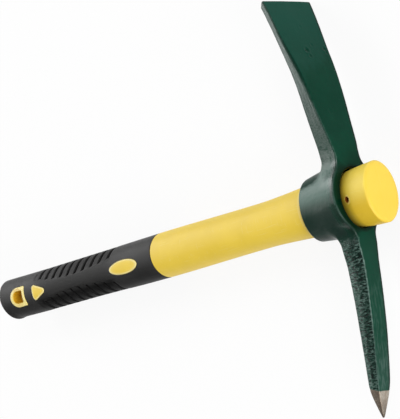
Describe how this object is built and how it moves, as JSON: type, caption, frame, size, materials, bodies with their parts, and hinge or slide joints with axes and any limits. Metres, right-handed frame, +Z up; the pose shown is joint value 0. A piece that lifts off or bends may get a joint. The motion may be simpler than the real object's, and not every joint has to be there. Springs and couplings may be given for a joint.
{
  "type": "mattock",
  "caption": "Short hand mattock: forged head with a curved adze blade and a pick, on a flared plastic-jacketed fibreglass handle with a ribbed rubber grip and hang hole.",
  "frame": {"origin": "middle of the footprint's bounding box on the surface that the tool lies on", "axes": "+X along the handle toward the cap and eye, +Y along the head toward the blade, +Z up from the surface"},
  "size_m": [0.3896, 0.283, 0.0504],
  "materials": {
    "head_paint": "gloss dark green paint over forged steel, bare ground steel at the pick's point",
    "core": "pultruded fibreglass rod, plain",
    "jacket": "satin moulded yellow plastic",
    "grip": "matte black moulded rubber"
  },
  "bodies": {
    "root": {"head": "head_paint", "fibreglass_core": "core", "handle_jacket": "jacket", "rubber_grip": "grip"}
  },
  "joints": []
}
